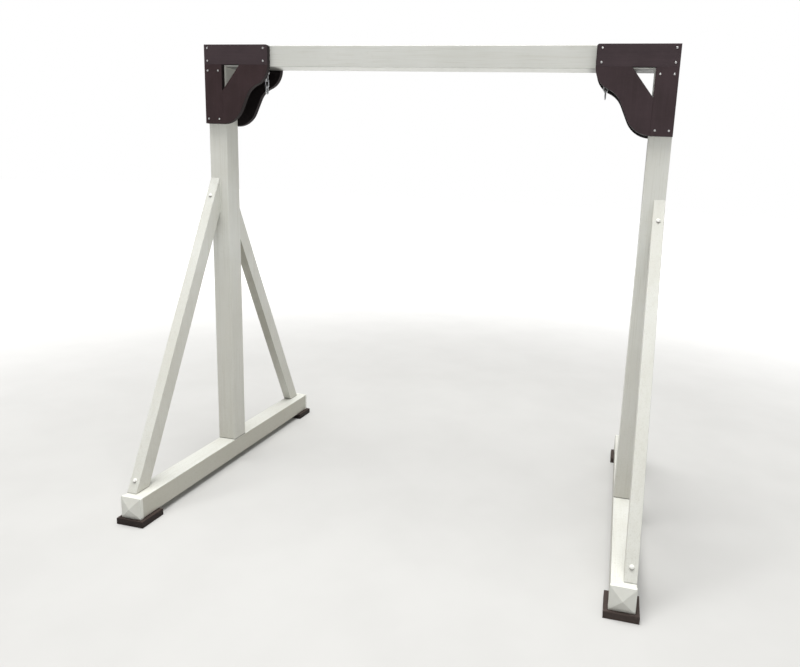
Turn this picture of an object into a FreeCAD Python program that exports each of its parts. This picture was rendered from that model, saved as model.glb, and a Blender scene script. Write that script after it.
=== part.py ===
import FreeCAD, Part
import math
import os
import Sketcher

# Free-standing porch swing stand. Two post-on-rail side frames carry one beam;
# square gusset plates tie the corners, sloping braces steady the posts, and a
# short hanger chain drops from the beam inside each corner.
# Frame: X along the beam, Y front (-) to back (+), Z up, origin on the floor
# under the middle of the stand. Millimetres.

V = FreeCAD.Vector
doc = FreeCAD.newDocument("SwingStand")
sheet = doc.addObject("Spreadsheet::Sheet", "Dims")
sheet.Label = "Dims"

DIMS = [
    # overall
    ("half_len", 1162.0),      # middle of the stand to a post's outer face
    ("tube_w", 101.6),         # 4 in square sleeve
    ("tube_wall", 3.4),
    ("tube_round", 4.0),
    ("core_w", 88.9),          # dressed 4x4 timber
    ("core_ease", 3.0),
    ("post_len", 2024.0),
    # base rails and feet
    ("rail_half", 781.0),
    ("rail_core_half", 776.0),
    ("foot_thick", 31.75),
    ("foot_wide", 139.7),
    ("foot_long", 135.0),
    ("foot_end", 797.5),
    ("foot_round", 6.0),
    ("foot_rebate", 1.8),
    ("foot_screw_y", 755.0),
    ("foot_screw_x", 28.0),
    # pyramid caps
    ("cap_w", 104.8),
    ("cap_wall", 1.5),
    ("cap_skirt", 15.0),
    ("cap_rim", 783.0),
    ("cap_peak", 15.0),
    ("cap_tip", 3.0),
    # beam
    ("beam_core_half", 1155.0),
    ("plug_w", 94.4),
    ("plug_deep", 5.2),
    ("plug_wall", 2.5),
    ("pass_w", 91.0),          # openings in the sleeves that the post cores pass
    # braces
    ("brace_w", 50.8),
    ("brace_t", 76.2),
    ("brace_wall", 2.6),
    ("brace_core_w", 44.0),
    ("brace_core_t", 69.0),
    ("brace_top", 1598.0),
    ("brace_toe", 748.0),
    ("cover_from_top", 101.6),
    ("cover_from_toe", 60.0),
    # gusset plates
    ("gusset_t", 25.4),
    ("gusset_w", 357.0),
    ("gusset_drop", 283.64),
    ("ogee_ax", 293.65), ("ogee_az", 88.68), ("ogee_ra", 102.88),
    ("ogee_bx", 236.06), ("ogee_bz", 144.20), ("ogee_rb", 109.88),
    ("ogee_cx", 204.65), ("ogee_cz", 212.46),
    ("ogee_rd", 122.31),
    ("cut_x", 98.5), ("cut_far", 200.0), ("cut_up", 6.0), ("cut_low", 122.0),
    ("corner_round", 10.0),
    ("edge_round", 2.5),
    ("seam_break", 0.6),
    ("pin_r", 4.0), ("pin_len", 50.0),
    ("pin_xa", 36.0), ("pin_xb", 62.0), ("pin_xc", 232.0), ("pin_xd", 315.0), ("pin_za", 160.0), ("pin_zb", 240.0),
    # gusset screws, measured from the outer top corner of the post
    ("scr_out", 19.0), ("scr_mid", 79.0), ("scr_in", 333.0),
    ("scr_hi", 84.0), ("scr_lo", 23.5), ("scr_post", 24.0), ("scr_foot", 260.0),
    ("screw_r", 2.4), ("screw_len", 60.0), ("head_r", 4.6), ("head_tall", 2.8),
    # lag screws under the base rails
    ("lag_r", 4.0), ("lag_len", 124.0), ("lag_head", 7.5), ("lag_post_y", 25.0), ("lag_toe_y", 685.0),
    # hangers
    ("hang_x", 854.0),
    ("eye_wire", 4.0), ("eye_ring", 11.0), ("eye_drop", 17.0), ("eye_shank", 75.0),
    ("link_wire", 3.5), ("link_bend", 8.5), ("link_straight", 22.0), ("link_gap", 0.3),
]
for row, (name, value) in enumerate(DIMS, start=1):
    sheet.set("A%d" % row, name)
    sheet.set("B%d" % row, repr(float(value)))
    sheet.setAlias("B%d" % row, name)
doc.recompute()


def d(name):
    return float(sheet.get(name))


def ex(text):
    # expands bare alias names to Dims.alias
    out = text
    for name in sorted((n for n, _ in DIMS), key=len, reverse=True):
        out = out.replace("{" + name + "}", "Dims." + name)
    return out


def val(text):
    out = text
    for name, _ in DIMS:
        out = out.replace("{" + name + "}", "(%r)" % d(name))
    out = out.strip()
    return calc(out)


def calc(text):
    # a small arithmetic reader for + - * / and brackets
    toks = []
    i = 0
    while i < len(text):
        c = text[i]
        if c.isspace():
            i += 1
        elif c.isdigit() or c == ".":
            j = i
            while j < len(text) and (text[j].isdigit() or text[j] == "."):
                j += 1
            toks.append(float(text[i:j]))
            i = j
        else:
            toks.append(c)
            i += 1
    pos = [0]

    def atom():
        t = toks[pos[0]]
        pos[0] += 1
        if t == "(":
            v = addition()
            pos[0] += 1
            return v
        if t == "-":
            return -atom()
        if t == "+":
            return atom()
        return t

    def product():
        v = atom()
        while pos[0] < len(toks) and toks[pos[0]] in ("*", "/"):
            op = toks[pos[0]]
            pos[0] += 1
            w = atom()
            v = v * w if op == "*" else v / w
        return v

    def addition():
        v = product()
        while pos[0] < len(toks) and toks[pos[0]] in ("+", "-"):
            op = toks[pos[0]]
            pos[0] += 1
            w = product()
            v = v + w if op == "+" else v - w
        return v

    return addition()


NODES = []          # (label, object) in the order they are written


def body(label):
    b = doc.addObject("PartDesign::Body", label)
    b.Label = label
    NODES.append((label, b))
    return b


def place(obj, x="0", y="0", z="0"):
    for axis, text in (("x", x), ("y", y), ("z", z)):
        obj.setExpression("Placement.Base." + axis, ex(text))


def plane(b, role):
    return [f for f in b.Origin.OriginFeatures if f.Role == role][0]


def sketch(b, role, name, offset=None):
    sk = b.newObject("Sketcher::SketchObject", name)
    sk.AttachmentSupport = [(plane(b, role), "")]
    sk.MapMode = "FlatFace"
    if offset is not None:
        sk.setExpression("AttachmentOffset.Base.z", ex(offset))
    return sk


def bind(sk, con, name, text):
    idx = sk.addConstraint(con)
    sk.renameConstraint(idx, name)
    sk.setExpression("Constraints." + name, ex(text))


def centred_rect(sk, wide, tall, tag):
    """Rectangle centred on the sketch origin, sizes bound to the sheet."""
    w, t = val(wide) / 2.0, val(tall) / 2.0
    g = sk.GeometryCount
    pts = [V(-w, -t, 0), V(w, -t, 0), V(w, t, 0), V(-w, t, 0)]
    for i in range(4):
        sk.addGeometry(Part.LineSegment(pts[i], pts[(i + 1) % 4]), False)
    for i in range(4):
        sk.addConstraint(Sketcher.Constraint("Coincident", g + i, 2, g + (i + 1) % 4, 1))
    for i in (0, 2):
        sk.addConstraint(Sketcher.Constraint("Horizontal", g + i))
    for i in (1, 3):
        sk.addConstraint(Sketcher.Constraint("Vertical", g + i))
    sk.addConstraint(Sketcher.Constraint("Symmetric", g, 1, g + 1, 2, -1, 1))
    bind(sk, Sketcher.Constraint("DistanceX", g, 1, g, 2, 2 * w), tag + "_wide", wide)
    bind(sk, Sketcher.Constraint("DistanceY", g + 1, 1, g + 1, 2, 2 * t), tag + "_tall", tall)


def coord(sk, geo, pt, name, xt, yt):
    """Fixes one sketch point at (xt, yt) from the origin; signs are in the text."""
    for kind, text, suffix in (("DistanceX", xt, "x"), ("DistanceY", yt, "y")):
        v = val(text)
        if abs(v) < 1e-9:
            sk.addConstraint(Sketcher.Constraint("PointOnObject", geo, pt, -2 if kind == "DistanceX" else -1))
        elif v > 0:
            bind(sk, Sketcher.Constraint(kind, -1, 1, geo, pt, v), name + suffix, text)
        else:
            bind(sk, Sketcher.Constraint(kind, geo, pt, -1, 1, -v), name + suffix, "-(" + text + ")")


def hole(sk, tag, xt, yt, r):
    g = sk.GeometryCount
    sk.addGeometry(Part.Circle(V(val(xt), val(yt), 0), V(0, 0, 1), val(r)), False)
    coord(sk, g, 3, tag + "_", xt, yt)
    bind(sk, Sketcher.Constraint("Radius", g, val(r)), tag + "_r", r)


def polygon(sk, tag, corners):
    g = sk.GeometryCount
    n = len(corners)
    pts = [V(val(x), val(y), 0) for x, y in corners]
    for i in range(n):
        sk.addGeometry(Part.LineSegment(pts[i], pts[(i + 1) % n]), False)
    for i in range(n):
        sk.addConstraint(Sketcher.Constraint("Coincident", g + i, 2, g + (i + 1) % n, 1))
    for i in range(n):
        coord(sk, g + i, 1, "%s%d_" % (tag, i), corners[i][0], corners[i][1])


def pad(b, sk, length, name, side="One side", reverse=False):
    f = b.newObject("PartDesign::Pad", name)
    f.Profile = sk
    f.SideType = side
    f.Reversed = reverse
    f.setExpression("Length", ex(length))
    doc.recompute()
    return f


def pocket(b, sk, name, length=None, side="One side", reverse=False):
    before = b.Shape.Volume
    f = b.newObject("PartDesign::Pocket", name)
    f.Profile = sk
    f.SideType = side
    f.Reversed = reverse
    if length is None:
        f.Type = "ThroughAll"
    else:
        f.setExpression("Length", ex(length))
    doc.recompute()
    if not f.Shape.Volume < before - 1e-3:
        raise RuntimeError("%s: pocket %s cut nothing" % (b.Label, name))
    return f


def edge_names(shape, want):
    return ["Edge%d" % (i + 1) for i, e in enumerate(shape.Edges) if want(e)]


def fillet(b, base, want, radius, name, kind="Fillet"):
    names = edge_names(base.Shape, want)
    if not names:
        raise RuntimeError("%s: no edges for %s" % (b.Label, name))
    f = b.newObject("PartDesign::" + kind, name)
    f.Base = (base, names)
    f.setExpression("Radius" if kind == "Fillet" else "Size", ex(radius))
    doc.recompute()
    if f.Shape.isNull() or not f.Shape.isValid() or "Invalid" in f.State:
        raise RuntimeError("%s: %s failed on %s" % (b.Label, name, names))
    return f


def straight_along(e, axis):
    if len(e.Vertexes) != 2 or not isinstance(e.Curve, (Part.Line, Part.LineSegment)):
        return False
    a, b2 = e.Vertexes[0].Point, e.Vertexes[1].Point
    t = (b2 - a)
    if t.Length < 1e-6:
        return False
    return abs(abs(t.normalize().dot(axis)) - 1) < 1e-6


def long_corners(axis, half_u, half_v):
    """Selects a section's outer corner edges along axis ('x', 'y' or 'z')."""
    ax = {"x": V(1, 0, 0), "y": V(0, 1, 0), "z": V(0, 0, 1)}[axis]

    def want(e):
        if not straight_along(e, ax):
            return False
        m = (e.Vertexes[0].Point + e.Vertexes[1].Point) * 0.5
        u, v = {"x": (m.y, m.z), "y": (m.x, m.z), "z": (m.x, m.y)}[axis]
        return abs(abs(u) - half_u) < 1e-4 and abs(abs(v) - half_v) < 1e-4
    return want


POST_X = "{half_len} - {tube_w}/2"
RAIL_TOP = "{foot_thick} + {tube_w}"
POST_TOP = "{foot_thick} + {tube_w} + {post_len}"
SIDES = (("left", -1), ("right", 1))
ENDS = (("front", -1), ("back", 1))


def sgn(s, text):
    return text if s > 0 else "-(" + text + ")"


SLOPE = math.atan2(d("brace_toe") - d("tube_w") / 2, d("brace_top") - d("foot_thick") - d("tube_w"))
TAN, COS, SIN = math.tan(SLOPE), math.cos(SLOPE), math.sin(SLOPE)

# ---------------------------------------------------------------- beam sleeve
b = body("beam_sleeve")
sk = sketch(b, "YZ_Plane", "beam_section")
centred_rect(sk, "{tube_w}", "{tube_w}", "outer")
centred_rect(sk, "{tube_w} - 2*{tube_wall}", "{tube_w} - 2*{tube_wall}", "inner")
p = pad(b, sk, "2*{half_len}", "beam_pad", "Symmetric")
p = fillet(b, p, long_corners("x", d("tube_w") / 2, d("tube_w") / 2), "{tube_round}", "beam_round")
# screw holes of the gusset plates, front and back walls together
sk = sketch(b, "XZ_Plane", "beam_screws")
for s, tag in ((-1, "l"), (1, "r")):
    for n, (dx, dz) in enumerate((("{scr_out}", "{scr_hi}"), ("{scr_out}", "{scr_lo}"), ("{scr_in}", "{scr_hi}"), ("{scr_in}", "{scr_lo}"))):
        hole(sk, "%s%d" % (tag, n), sgn(s, "{half_len} - " + dx), dz + " - {tube_w}/2", "{screw_r} + 0.2")
pocket(b, sk, "beam_screw_holes", side="Symmetric")
# openings in the bottom wall for the post cores, and the hanger holes
sk = sketch(b, "XY_Plane", "beam_bottom_openings")
for s, tag in ((-1, "l"), (1, "r")):
    x0 = sgn(s, POST_X + " - {pass_w}/2")
    x1 = sgn(s, POST_X + " + {pass_w}/2")
    polygon(sk, "pass_" + tag, [(x0, "-{pass_w}/2"), (x1, "-{pass_w}/2"), (x1, "{pass_w}/2"), (x0, "{pass_w}/2")])
    hole(sk, "eye_" + tag, sgn(s, "{hang_x}"), "0", "{eye_wire} + 0.3")
pocket(b, sk, "beam_bottom_cuts", "{tube_w}/2 + 1")
place(b, z=POST_TOP + " + {tube_w}/2")

# ------------------------------------------------------------------ beam core
b = body("beam_core")
sk = sketch(b, "YZ_Plane", "core_section")
centred_rect(sk, "{core_w}", "{core_w}", "core")
p = pad(b, sk, "2*{beam_core_half}", "core_pad", "Symmetric")
p = fillet(b, p, long_corners("x", d("core_w") / 2, d("core_w") / 2), "{core_ease}", "core_ease")
sk = sketch(b, "XZ_Plane", "core_screws")
for s, tag in ((-1, "l"), (1, "r")):
    for n, (dx, dz) in enumerate((("{scr_out}", "{scr_hi}"), ("{scr_out}", "{scr_lo}"), ("{scr_in}", "{scr_hi}"), ("{scr_in}", "{scr_lo}"))):
        hole(sk, "%s%d" % (tag, n), sgn(s, "{half_len} - " + dx), dz + " - {tube_w}/2", "{screw_r} + 0.05")
pocket(b, sk, "core_screw_holes", side="Symmetric")
sk = sketch(b, "XY_Plane", "core_eye_holes", "-{core_w}/2")
for s, tag in ((-1, "l"), (1, "r")):
    hole(sk, "eye_" + tag, sgn(s, "{hang_x}"), "0", "{eye_wire} + 0.05")
pocket(b, sk, "core_eye_pilots", "{eye_shank} + 2 - ({tube_w} - {core_w})/2", reverse=True)
place(b, z=POST_TOP + " + {tube_w}/2")

# ------------------------------------------------------------ beam end plugs
for side, s in SIDES:
    b = body(side + "_beam_end_plug")
    sk = sketch(b, "YZ_Plane", "plug_section")
    centred_rect(sk, "{plug_w}", "{plug_w}", "plug")
    p = pad(b, sk, "{plug_deep}", "plug_pad", reverse=(s > 0))
    p = fillet(b, p, long_corners("x", d("plug_w") / 2, d("plug_w") / 2), "1.5", "plug_round")
    # hollow from the inner side
    sk = sketch(b, "YZ_Plane", "plug_hollow", sgn(-s, "{plug_deep}"))
    centred_rect(sk, "{plug_w} - 2*{plug_wall}", "{plug_w} - 2*{plug_wall}", "hollow")
    pocket(b, sk, "plug_pocket", "{plug_deep} - {plug_wall}", reverse=(s > 0))
    place(b, x=sgn(s, "{half_len} - 0.3"), z=POST_TOP + " + {tube_w}/2")

# ------------------------------------------------------------- posts and rails
for side, s in SIDES:
    b = body(side + "_post_sleeve")
    sk = sketch(b, "XY_Plane", "post_section")
    centred_rect(sk, "{tube_w}", "{tube_w}", "outer")
    centred_rect(sk, "{tube_w} - 2*{tube_wall}", "{tube_w} - 2*{tube_wall}", "inner")
    p = pad(b, sk, "{post_len}", "post_pad")
    p = fillet(b, p, long_corners("z", d("tube_w") / 2, d("tube_w") / 2), "{tube_round}", "post_round")
    sk = sketch(b, "XZ_Plane", "post_screws")
    for n, (dx, dz) in enumerate((("{scr_out}", "{scr_post}"), ("{scr_mid}", "{scr_post}"), ("{scr_out}", "{scr_foot}"), ("{scr_mid}", "{scr_foot}"))):
        hole(sk, "g%d" % n, sgn(s, "{tube_w}/2 - " + dx), "{post_len} - " + dz, "{screw_r} + 0.2")
    pocket(b, sk, "post_screw_holes", side="Symmetric")
    place(b, x=sgn(s, POST_X), z=RAIL_TOP)

    b = body(side + "_post_core")
    sk = sketch(b, "XY_Plane", "core_section")
    centred_rect(sk, "{core_w}", "{core_w}", "core")
    p = pad(b, sk, "{post_len} + {tube_w} - {core_w}", "core_pad")
    p = fillet(b, p, long_corners("z", d("core_w") / 2, d("core_w") / 2), "{core_ease}", "core_ease")
    sk = sketch(b, "XZ_Plane", "core_screws")
    for n, (dx, dz) in enumerate((("{scr_out}", "{scr_post}"), ("{scr_mid}", "{scr_post}"), ("{scr_out}", "{scr_foot}"), ("{scr_mid}", "{scr_foot}"))):
        hole(sk, "g%d" % n, sgn(s, "{tube_w}/2 - " + dx), "{post_len} - " + dz + " + ({tube_w} - {core_w})/2", "{screw_r} + 0.05")
    pocket(b, sk, "core_screw_holes", side="Symmetric")
    sk = sketch(b, "XY_Plane", "lag_pilots")
    for n, yy in enumerate(("-{lag_post_y}", "{lag_post_y}")):
        hole(sk, "lag%d" % n, "0", yy, "{lag_r} + 0.05")
    pocket(b, sk, "lag_pilot_holes", "{lag_len} - {core_w} + 25", reverse=True)
    place(b, x=sgn(s, POST_X), z="{foot_thick} + ({tube_w} + {core_w})/2")

    b = body(side + "_base_sleeve")
    sk = sketch(b, "XZ_Plane", "rail_section")
    centred_rect(sk, "{tube_w}", "{tube_w}", "outer")
    centred_rect(sk, "{tube_w} - 2*{tube_wall}", "{tube_w} - 2*{tube_wall}", "inner")
    p = pad(b, sk, "2*{rail_half}", "rail_pad", "Symmetric")
    p = fillet(b, p, long_corners("y", d("tube_w") / 2, d("tube_w") / 2), "{tube_round}", "rail_round")
    # top wall: opening for the post core and holes for the brace lags
    sk = sketch(b, "XY_Plane", "rail_top_openings")
    centred_rect(sk, "{pass_w}", "{pass_w}", "pass")
    for n, yy in enumerate(("-{lag_toe_y}", "{lag_toe_y}")):
        hole(sk, "toe%d" % n, sgn(s, "{tube_w}/2 - {brace_w}/2"), yy, "{lag_r} + 0.3")
    pocket(b, sk, "rail_top_cuts", "{tube_w}/2 + 1", reverse=True)
    # bottom wall: driver access for the lags, holes for the foot screws
    sk = sketch(b, "XY_Plane", "rail_bottom_openings")
    for n, yy in enumerate(("-{lag_toe_y}", "{lag_toe_y}")):
        hole(sk, "toe%d" % n, sgn(s, "{tube_w}/2 - {brace_w}/2"), yy, "{lag_head} + 2")
    for n, yy in enumerate(("-{lag_post_y}", "{lag_post_y}")):
        hole(sk, "lag%d" % n, "0", yy, "{lag_head} + 2")
    for n, (xx, yy) in enumerate((("-{foot_screw_x}", "-{foot_screw_y}"), ("{foot_screw_x}", "-{foot_screw_y}"), ("-{foot_screw_x}", "{foot_screw_y}"), ("{foot_screw_x}", "{foot_screw_y}"))):
        hole(sk, "foot%d" % n, xx, yy, "{screw_r} + 0.2")
    pocket(b, sk, "rail_bottom_cuts", "{tube_w}/2 + 1")
    place(b, x=sgn(s, POST_X), z="{foot_thick} + {tube_w}/2")

    b = body(side + "_base_core")
    sk = sketch(b, "XZ_Plane", "core_section")
    centred_rect(sk, "{core_w}", "{core_w}", "core")
    p = pad(b, sk, "2*{rail_core_half}", "core_pad", "Symmetric")
    p = fillet(b, p, long_corners("y", d("core_w") / 2, d("core_w") / 2), "{core_ease}", "core_ease")
    sk = sketch(b, "XY_Plane", "lag_holes")
    for n, yy in enumerate(("-{lag_toe_y}", "{lag_toe_y}")):
        hole(sk, "toe%d" % n, sgn(s, "{tube_w}/2 - {brace_w}/2"), yy, "{lag_r} + 0.05")
    for n, yy in enumerate(("-{lag_post_y}", "{lag_post_y}")):
        hole(sk, "lag%d" % n, "0", yy, "{lag_r} + 0.05")
    pocket(b, sk, "lag_shank_holes", side="Symmetric")
    sk = sketch(b, "XY_Plane", "lag_counterbores", "-{core_w}/2")
    for n, yy in enumerate(("-{lag_toe_y}", "{lag_toe_y}")):
        hole(sk, "toe%d" % n, sgn(s, "{tube_w}/2 - {brace_w}/2"), yy, "{lag_head} + 2")
    for n, yy in enumerate(("-{lag_post_y}", "{lag_post_y}")):
        hole(sk, "lag%d" % n, "0", yy, "{lag_head} + 2")
    pocket(b, sk, "lag_counterbore_cut", "18", reverse=True)
    sk = sketch(b, "XY_Plane", "foot_screw_pilots", "-{core_w}/2")
    for n, (xx, yy) in enumerate((("-{foot_screw_x}", "-{foot_screw_y}"), ("{foot_screw_x}", "-{foot_screw_y}"), ("-{foot_screw_x}", "{foot_screw_y}"), ("{foot_screw_x}", "{foot_screw_y}"))):
        hole(sk, "foot%d" % n, xx, yy, "{screw_r} + 0.05")
    pocket(b, sk, "foot_pilot_cut", "35", reverse=True)
    place(b, x=sgn(s, POST_X), z="{foot_thick} + {tube_w}/2")

# --------------------------------------------------------------- gusset plates
# each plate is three boards edge to edge: a top board over the beam, a post
# board down the post, and a bracket with the ogee edge that closes the window
BOARDS = ("top_board", "post_board", "bracket")
TOP_SCREWS = (("{scr_out}", "{scr_hi}"), ("{scr_out}", "{scr_lo}"), ("{scr_in}", "{scr_hi}"), ("{scr_in}", "{scr_lo}"))
POST_SCREWS = (("{scr_out}", "-{scr_post}"), ("{scr_mid}", "-{scr_post}"), ("{scr_out}", "-{scr_foot}"), ("{scr_mid}", "-{scr_foot}"))


def minor_arc(a, c, r, out):
    """Anticlockwise arc of radius r joining a and c, bulging towards 'out'."""
    m = (a + c) * 0.5
    half = (c - a).Length / 2
    n = V(-(c - a).y, (c - a).x, 0).normalize()
    if n.dot(out) < 0:
        n = n * -1
    centre = m - n * math.sqrt(r * r - half * half)
    a0 = math.atan2(a.y - centre.y, a.x - centre.x)
    a1 = math.atan2(c.y - centre.y, c.x - centre.x)
    forward = (a1 - a0) % (2 * math.pi) < math.pi
    if not forward:
        a0, a1 = a1, a0
    if a1 < a0:
        a1 += 2 * math.pi
    return Part.ArcOfCircle(Part.Circle(centre, V(0, 0, 1), r), a0, a1), forward


def gusset_board(side, s, end, e, board):
    b = body("%s_%s_gusset_%s" % (side, end, board))
    sk = sketch(b, "XZ_Plane", "gusset_profile")

    # every station is a distance in from the post's outer face and up or
    # down from the beam's underside; s mirrors it for the other corner
    def q(x, z):
        return (sgn(-s, x), z)

    if board == "bracket":
        # from the window's inner corner round the ogee to the joint with the post board
        stations = [
            q("{cut_far}", "{cut_up}"), q("{gusset_w}", "{cut_up}"), q("{ogee_ax}", "-{ogee_az}"), q("{ogee_bx}", "-{ogee_bz}"),
            q("{ogee_cx}", "-{ogee_cz}"), q("{cut_x}", "-{gusset_drop}"), q("{cut_x}", "-{cut_low}"),
        ]
        pts = [V(val(x), val(z), 0) for x, z in stations]
        count = len(stations)
        outward = V(-s, -1, 0)
        arcs = {1: (d("ogee_ra"), outward), 2: (d("ogee_rb"), outward * -1), 4: (d("ogee_rd"), outward)}
        names = {1: "{ogee_ra}", 2: "{ogee_rb}", 4: "{ogee_rd}"}
        starts, finishes = {}, {}
        for i in range(count):
            a, c = pts[i], pts[(i + 1) % count]
            if i in arcs:
                r, out = arcs[i]
                arc, forward = minor_arc(a, c, r, out)
                sk.addGeometry(arc, False)
                starts[i], finishes[i] = (1, 2) if forward else (2, 1)
            else:
                sk.addGeometry(Part.LineSegment(a, c), False)
                starts[i], finishes[i] = 1, 2
        for i in range(count):
            j = (i + 1) % count
            sk.addConstraint(Sketcher.Constraint("Coincident", i, finishes[i], j, starts[j]))
        for i in range(count):
            coord(sk, i, starts[i], "p%d_" % i, stations[i][0], stations[i][1])
        for i in arcs:
            bind(sk, Sketcher.Constraint("Radius", i, arcs[i][0]), "arc%d" % i, names[i])
    elif board == "top_board":
        polygon(sk, "p", [q("0", "{cut_up}"), q("{gusset_w}", "{cut_up}"), q("{gusset_w}", "{tube_w}"), q("0", "{tube_w}")])
    else:
        polygon(sk, "p", [q("0", "-{gusset_drop}"), q("{cut_x}", "-{gusset_drop}"), q("{cut_x}", "{cut_up}"), q("0", "{cut_up}")])
    for n, (dx, dz) in enumerate({"top_board": TOP_SCREWS, "post_board": POST_SCREWS, "bracket": ()}[board]):
        hole(sk, "h%d" % n, sgn(-s, dx), dz, "{screw_r} + 0.2")
    # the sketch's own normal is -Y, so the front plate grows forwards
    p = pad(b, sk, "{gusset_t}", "gusset_pad", reverse=(e > 0))
    gw, tw, cu, cx = d("gusset_w"), d("tube_w"), d("cut_up"), -s * d("cut_x")

    if board == "top_board":
        def inner_top(ed):
            m = ed.BoundBox.Center
            return straight_along(ed, V(0, 1, 0)) and abs(m.x - (-s) * gw) < 1e-3 and abs(m.z - tw) < 1e-3

        p = fillet(b, p, inner_top, "{corner_round}", "gusset_corner")
    face_y = e * d("gusset_t")

    def joint_edge(ed):
        # the straight outer edges along the joints with the other boards
        bb = ed.BoundBox
        if abs(bb.YMin - face_y) > 1e-4 or abs(bb.YMax - face_y) > 1e-4 or len(ed.Vertexes) != 2:
            return False
        on_level = abs(bb.ZMin - cu) < 1e-4 and abs(bb.ZMax - cu) < 1e-4
        upright = board != "top_board" and abs(bb.XMin - cx) < 1e-4 and abs(bb.XMax - cx) < 1e-4
        return on_level or upright

    p = fillet(b, p, joint_edge, "{seam_break}", "joint_edge_break", "Chamfer")

    def rim(ed):
        # the free edges of the outer face: not the screw holes, not the joints
        bb = ed.BoundBox
        if abs(bb.YMin - face_y) > 1e-4 or abs(bb.YMax - face_y) > 1e-4:
            return False
        if isinstance(ed.Curve, Part.Circle) and ed.Curve.Radius < 5:
            return False
        m = bb.Center
        br = d("seam_break")
        if abs(bb.ZLength) < 1e-4 and abs(m.z - cu) < br + 1e-3:
            return False
        return board == "top_board" or not (abs(bb.XLength) < 1e-4 and abs(m.x - cx) < br + 1e-3)

    p = fillet(b, p, rim, "{edge_round}", "gusset_edge")

    # holes for the pins that hold the boards to each other
    mid = sgn(e, "{gusset_t}/2")
    up = board == "top_board"
    spots = {"top_board": ("{pin_xa}", "{pin_xb}", "{pin_xc}", "{pin_xd}"),
             "post_board": ("{pin_xa}", "{pin_xb}"), "bracket": ("{pin_xc}", "{pin_xd}")}[board]
    skp = sketch(b, "XY_Plane", "level_pin_holes", "{cut_up}")
    for n, xx in enumerate(spots):
        hole(skp, "pin%d" % n, sgn(-s, xx), mid, "{pin_r} + 0.05")
    pocket(b, skp, "level_pins", "{pin_len}/2 + 0.5", reverse=up)
    if board != "top_board":
        skp = sketch(b, "YZ_Plane", "upright_pin_holes", sgn(-s, "{cut_x}"))
        for n, zz in enumerate(("-{pin_za}", "-{pin_zb}")):
            hole(skp, "pin%d" % n, mid, zz, "{pin_r} + 0.05")
        # the bracket lies on the far side of the joint from the post
        away = (board == "bracket")
        pocket(b, skp, "upright_pins", "{pin_len}/2 + 0.5", reverse=(away == (-s > 0)))
    place(b, x=sgn(s, "{half_len}"), y=sgn(e, "{tube_w}/2"), z=POST_TOP)


for side, s in SIDES:
    for end, e in ENDS:
        for board in BOARDS:
            gusset_board(side, s, end, e, board)

# ----------------------------------------------------------------------- feet
for side, s in SIDES:
    for end, e in ENDS:
        b = body("%s_%s_foot" % (side, end))
        sk = sketch(b, "XY_Plane", "foot_outline")
        centred_rect(sk, "{foot_wide}", "{foot_long}", "foot")
        p = pad(b, sk, "{foot_thick}", "foot_pad")
        tk = d("foot_thick")
        p = fillet(b, p, lambda ed: abs(ed.BoundBox.ZMin - tk) < 1e-4, "{foot_round}", "foot_top_round")
        # shallow rebate that takes the lower edge of the rail's end cap
        sk = sketch(b, "XY_Plane", "cap_rebate", "{foot_thick}")
        y_in = sgn(e, "{cap_rim} - {cap_skirt} - 1 - {foot_end} + {foot_long}/2")
        y_out = sgn(e, "{foot_long}/2 + 1")
        polygon(sk, "reb", [("-{cap_w}/2 - 0.8", y_in), ("{cap_w}/2 + 0.8", y_in), ("{cap_w}/2 + 0.8", y_out), ("-{cap_w}/2 - 0.8", y_out)])
        pocket(b, sk, "cap_rebate_cut", "{foot_rebate}")
        sk = sketch(b, "XY_Plane", "foot_screws")
        yy = sgn(e, "{foot_screw_y} - {foot_end} + {foot_long}/2")
        for n, xx in enumerate(("-{foot_screw_x}", "{foot_screw_x}")):
            hole(sk, "sh%d" % n, xx, yy, "{screw_r} + 0.2")
        pocket(b, sk, "foot_screw_holes", reverse=True)
        sk = sketch(b, "XY_Plane", "foot_counterbores")
        for n, xx in enumerate(("-{foot_screw_x}", "{foot_screw_x}")):
            hole(sk, "cb%d" % n, xx, yy, "{head_r} + 1.4")
        pocket(b, sk, "foot_counterbore_cut", "9", reverse=True)
        place(b, x=sgn(s, POST_X), y=sgn(e, "{foot_end} - {foot_long}/2"))

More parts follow.
